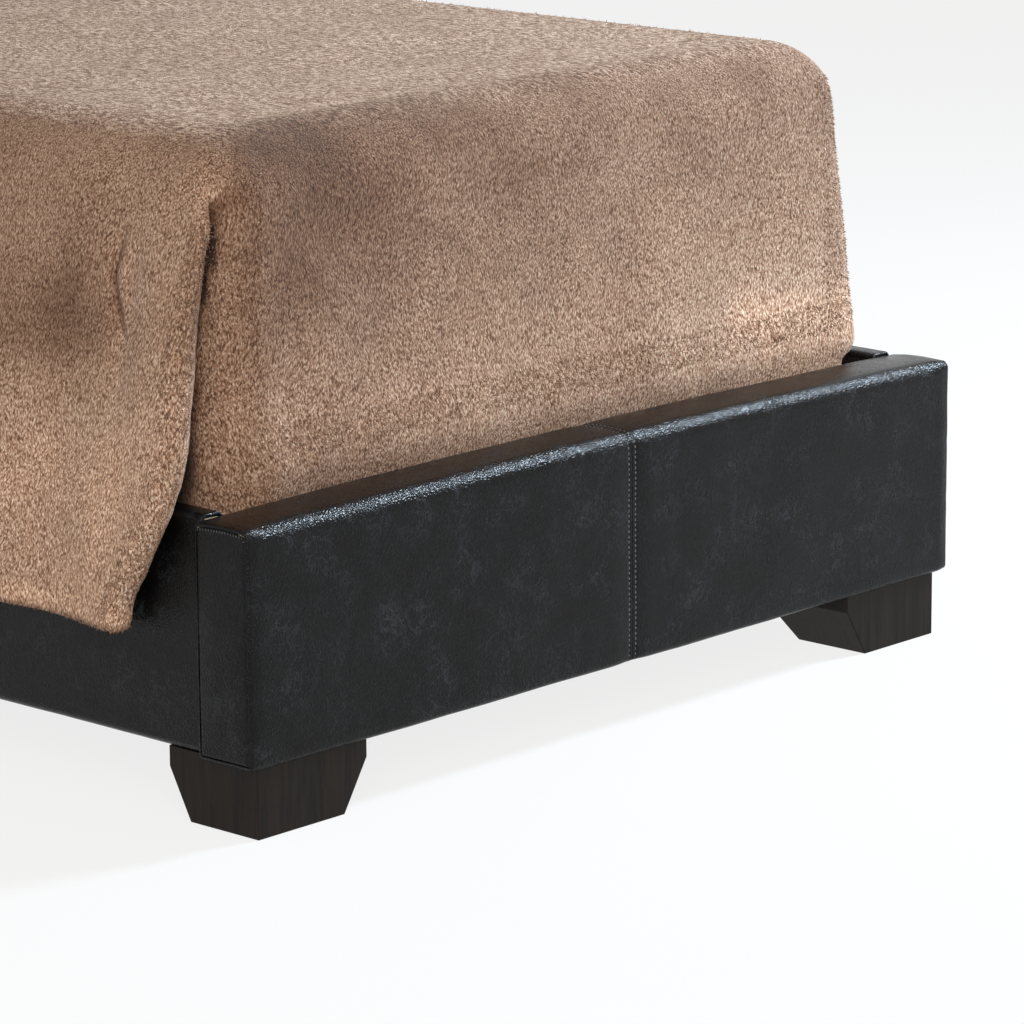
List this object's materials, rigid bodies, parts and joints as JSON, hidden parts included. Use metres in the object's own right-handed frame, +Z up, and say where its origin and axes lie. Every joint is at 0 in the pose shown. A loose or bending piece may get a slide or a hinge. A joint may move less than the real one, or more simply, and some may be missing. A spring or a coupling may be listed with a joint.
{
  "type": "upholstered bed",
  "caption": "Low single panel bed in black faux leather with tapered block feet, slats, levelling centre legs, foundation, mattress and plush blanket.",
  "frame": {"origin": "on the floor, at the bottom centre of the bed's bounding box", "axes": "+Z up, +Y from the footboard to the headboard, X across the bed"},
  "size_m": [1.1888, 2.101, 1.199],
  "materials": {
    "base_cloth": "woven base cloth",
    "black_leather": "black bonded faux leather, semi-gloss, lightly mottled",
    "black_plastic": "black nylon",
    "black_steel": "black powder coat",
    "border_knit": "light grey quilted knit",
    "dust_cloth": "black spun-bonded cloth",
    "espresso_wood": "dark espresso stain under a semi-gloss lacquer",
    "foam": "open-cell polyurethane foam",
    "foundation_fabric": "light grey woven cover",
    "hardboard": "brown hardboard",
    "pine": "planed unfinished pine",
    "plush": "taupe plush fleece",
    "quilted_knit": "white quilted knit",
    "zinc_steel": "zinc-plated steel"
  },
  "bodies": {
    "bed_frame": {"bracket_bolts": "zinc_steel", "centre_leg_1": "pine", "centre_leg_2": "pine", "centre_leg_3": "pine", "corner_brackets": "black_steel", "foot_block_front_left": "espresso_wood", "foot_block_front_right": "espresso_wood", "foot_block_rear_left": "espresso_wood", "foot_block_rear_right": "espresso_wood", "foot_bolts": "zinc_steel", "footboard_back_board": "hardboard", "footboard_cover_left": "black_leather", "footboard_cover_right": "black_leather", "footboard_end_caps": "black_leather", "footboard_face_board": "hardboard", "footboard_foam": "foam", "footboard_frame_rails": "pine", "footboard_frame_stiles": "pine", "headboard_back_cloth": "dust_cloth", "headboard_cover_left": "black_leather", "headboard_cover_right": "black_leather", "headboard_end_caps": "black_leather", "headboard_face_board": "hardboard", "headboard_foam": "foam", "headboard_frame_rails": "pine", "headboard_frame_stiles": "pine", "insert_nuts": "zinc_steel", "ledger_left": "pine", "ledger_right": "pine", "ledger_screws": "zinc_steel", "leg_insert_nuts": "zinc_steel", "leg_screws": "zinc_steel", "rail_board_left": "pine", "rail_board_right": "pine", "rail_cover_left": "black_leather", "rail_cover_right": "black_leather", "rail_foam_left": "foam", "rail_foam_right": "foam", "slat_1": "pine", "slat_2": "pine", "slat_3": "pine", "slat_4": "pine", "slat_5": "pine", "slat_screws": "zinc_steel"},
    "foundation": {"foundation_cover": "foundation_fabric", "foundation_dust_cloth": "dust_cloth", "foundation_frame": "pine", "foundation_pad": "foam"},
    "mattress": {"mattress_base_foam": "foam", "mattress_base_sheet": "base_cloth", "mattress_border": "border_knit", "mattress_comfort_foam": "foam", "mattress_pillow_top": "quilted_knit"},
    "blanket": {"blanket": "plush"},
    "leveller_pad_1": {"leveller_pad_1": "black_plastic"},
    "leveller_stem_1": {"leveller_stem_1": "zinc_steel"},
    "leveller_pad_2": {"leveller_pad_2": "black_plastic"},
    "leveller_stem_2": {"leveller_stem_2": "zinc_steel"},
    "leveller_pad_3": {"leveller_pad_3": "black_plastic"},
    "leveller_stem_3": {"leveller_stem_3": "zinc_steel"}
  },
  "joints": [
    {"name": "foundation_lift", "type": "slide", "parent": "bed_frame", "child": "foundation", "axis": [0, 0, 1], "range_m": [0, 0.3]},
    {"name": "mattress_lift", "type": "slide", "parent": "foundation", "child": "mattress", "axis": [0, 0, 1], "range_m": [0, 0.3]},
    {"name": "blanket_lift", "type": "slide", "parent": "mattress", "child": "blanket", "axis": [0, 0, 1], "range_m": [0, 0.5]},
    {"name": "leveller_slide_1", "type": "slide", "parent": "bed_frame", "child": "leveller_pad_1", "axis": [0, 0, 1], "range_m": [-0.0005, 0.01]},
    {"name": "leveller_turn_1", "type": "hinge", "parent": "leveller_pad_1", "child": "leveller_stem_1", "pos_m": [0, -0.40625, 0], "axis": [0, 0, 1], "range_deg": [-145, 2881]},
    {"name": "leveller_slide_2", "type": "slide", "parent": "bed_frame", "child": "leveller_pad_2", "axis": [0, 0, 1], "range_m": [-0.0005, 0.01]},
    {"name": "leveller_turn_2", "type": "hinge", "parent": "leveller_pad_2", "child": "leveller_stem_2", "pos_m": [0, 0, 0], "axis": [0, 0, 1], "range_deg": [-145, 2881]},
    {"name": "leveller_slide_3", "type": "slide", "parent": "bed_frame", "child": "leveller_pad_3", "axis": [0, 0, 1], "range_m": [-0.0005, 0.01]},
    {"name": "leveller_turn_3", "type": "hinge", "parent": "leveller_pad_3", "child": "leveller_stem_3", "pos_m": [0, 0.40625, 0], "axis": [0, 0, 1], "range_deg": [-145, 2881]}
  ],
  "couplings": [
    {"joint": "leveller_turn_1", "follows": "leveller_slide_1", "rad_per_m": 5026.5},
    {"joint": "leveller_turn_2", "follows": "leveller_slide_2", "rad_per_m": 5026.5},
    {"joint": "leveller_turn_3", "follows": "leveller_slide_3", "rad_per_m": 5026.5}
  ]
}
